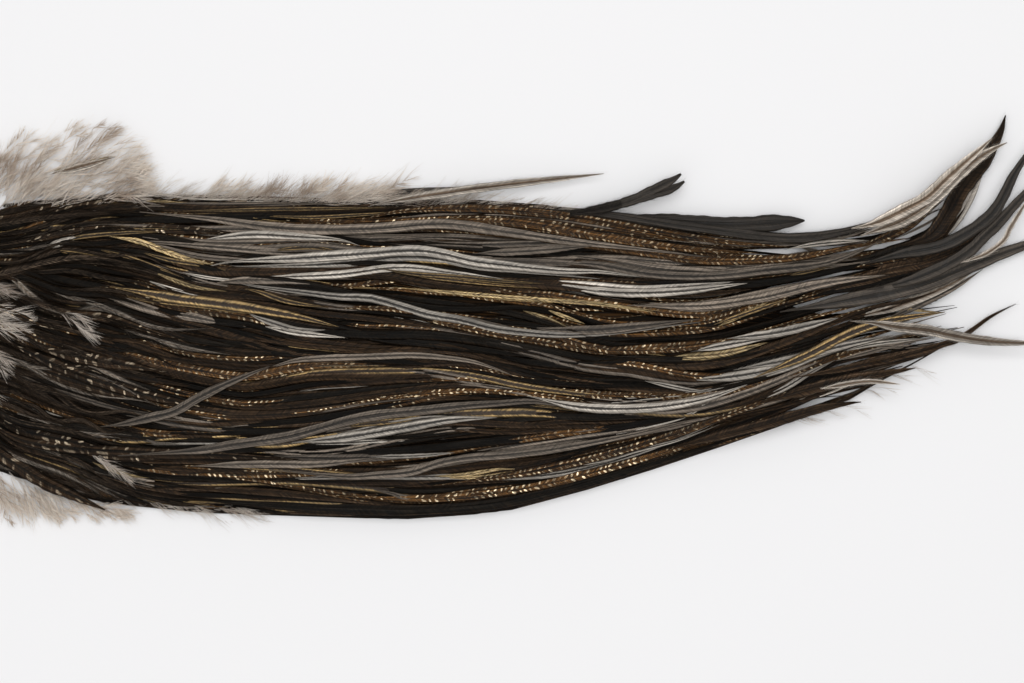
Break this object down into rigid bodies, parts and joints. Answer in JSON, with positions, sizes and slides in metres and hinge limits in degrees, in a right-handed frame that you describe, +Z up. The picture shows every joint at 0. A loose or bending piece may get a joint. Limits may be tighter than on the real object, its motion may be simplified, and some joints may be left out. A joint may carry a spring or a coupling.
{
  "type": "rooster saddle hackle",
  "caption": "Dried rooster saddle hackle: a skin patch carrying long slender black, grey, silver and gold-barred feathers that sweep to fanned, upturned tips, with pale down at the root end",
  "frame": {"origin": "the middle of the footprint, on the surface that the hackle lies on", "axes": "+X from the skin end towards the feather tips, +Y across the hackle towards the side where the tips turn up, +Z up from the surface"},
  "size_m": [0.3681, 0.1256, 0.0175],
  "materials": {
    "skin": "dry scraped hide, matt and slightly translucent, cream to amber",
    "packed_hackle": "packed dark feathers, fine grain along the barbs with a soft sheen",
    "black_hackle": "glossy black vanes with a faint green-blue sheen",
    "grey_hackle": "taupe-grey vanes with a dark middle stripe and paler edges",
    "silver_hackle": "silver-white vanes with a dark middle stripe",
    "gold_hackle": "black vanes laced with straw gold along both edges",
    "barred_hackle": "brown-black vanes barred with paired cream and gold dashes",
    "brown_hackle": "dark brown-grey vanes with thin paler edges",
    "down": "loose pale beige and white down fibres"
  },
  "bodies": {
    "root": {"arched_grey_feather": "grey_hackle", "arched_thin_feather": "grey_hackle", "barred_feather_1": "barred_hackle", "barred_feather_2": "barred_hackle", "barred_feather_3": "barred_hackle", "barred_feather_lower_1": "barred_hackle", "barred_feather_lower_2": "barred_hackle", "black_lower_edge_feather": "black_hackle", "black_ridge_feather": "black_hackle", "black_upturned_feather": "black_hackle", "black_webbed_feather_lower": "black_hackle", "black_webbed_feather_middle": "black_hackle", "black_webbed_feather_upper": "black_hackle", "brown_frayed_feather": "brown_hackle", "brown_low_tip_feather": "brown_hackle", "brown_webbed_feather": "brown_hackle", "crossing_grey_feather": "grey_hackle", "dark_blunt_feather": "brown_hackle", "dark_wide_feather": "brown_hackle", "down_butt_end": "down", "down_butt_lower": "down", "down_butt_upper": "down", "down_edge_upper_far": "down", "down_edge_upper_near": "down", "fan_feather_dark": "brown_hackle", "fan_feather_lower": "black_hackle", "fan_feather_middle": "brown_hackle", "fan_feather_pale": "silver_hackle", "fan_feather_thin": "grey_hackle", "fan_feather_top": "grey_hackle", "feather_bed": "packed_hackle", "gold_laced_feather": "gold_hackle", "gold_laced_right_feather": "gold_hackle", "gold_rising_feather": "gold_hackle", "gold_thin_feather": "gold_hackle", "grey_feather_1": "grey_hackle", "grey_feather_2": "grey_hackle", "grey_feather_3": "grey_hackle", "grey_feather_4": "grey_hackle", "grey_feather_short_tip": "grey_hackle", "low_grey_feather": "grey_hackle", "pale_middle_feather": "silver_hackle", "pale_outer_feather": "silver_hackle", "pale_rising_feather": "silver_hackle", "pale_short_feather": "silver_hackle", "silver_feather_long": "silver_hackle", "silver_feather_low": "silver_hackle", "silver_feather_lower": "silver_hackle", "skin": "skin", "small_curved_feather": "grey_hackle", "spotted_feather_long": "barred_hackle", "spotted_feather_low": "barred_hackle", "spotted_feather_middle": "barred_hackle", "straw_feather_middle": "gold_hackle", "straw_feather_right": "gold_hackle", "straw_feather_upper": "gold_hackle", "sweeping_grey_feather": "grey_hackle", "taupe_flyaway_feather": "grey_hackle", "thin_brown_feather": "brown_hackle", "white_tip_feather": "silver_hackle"}
  },
  "joints": []
}
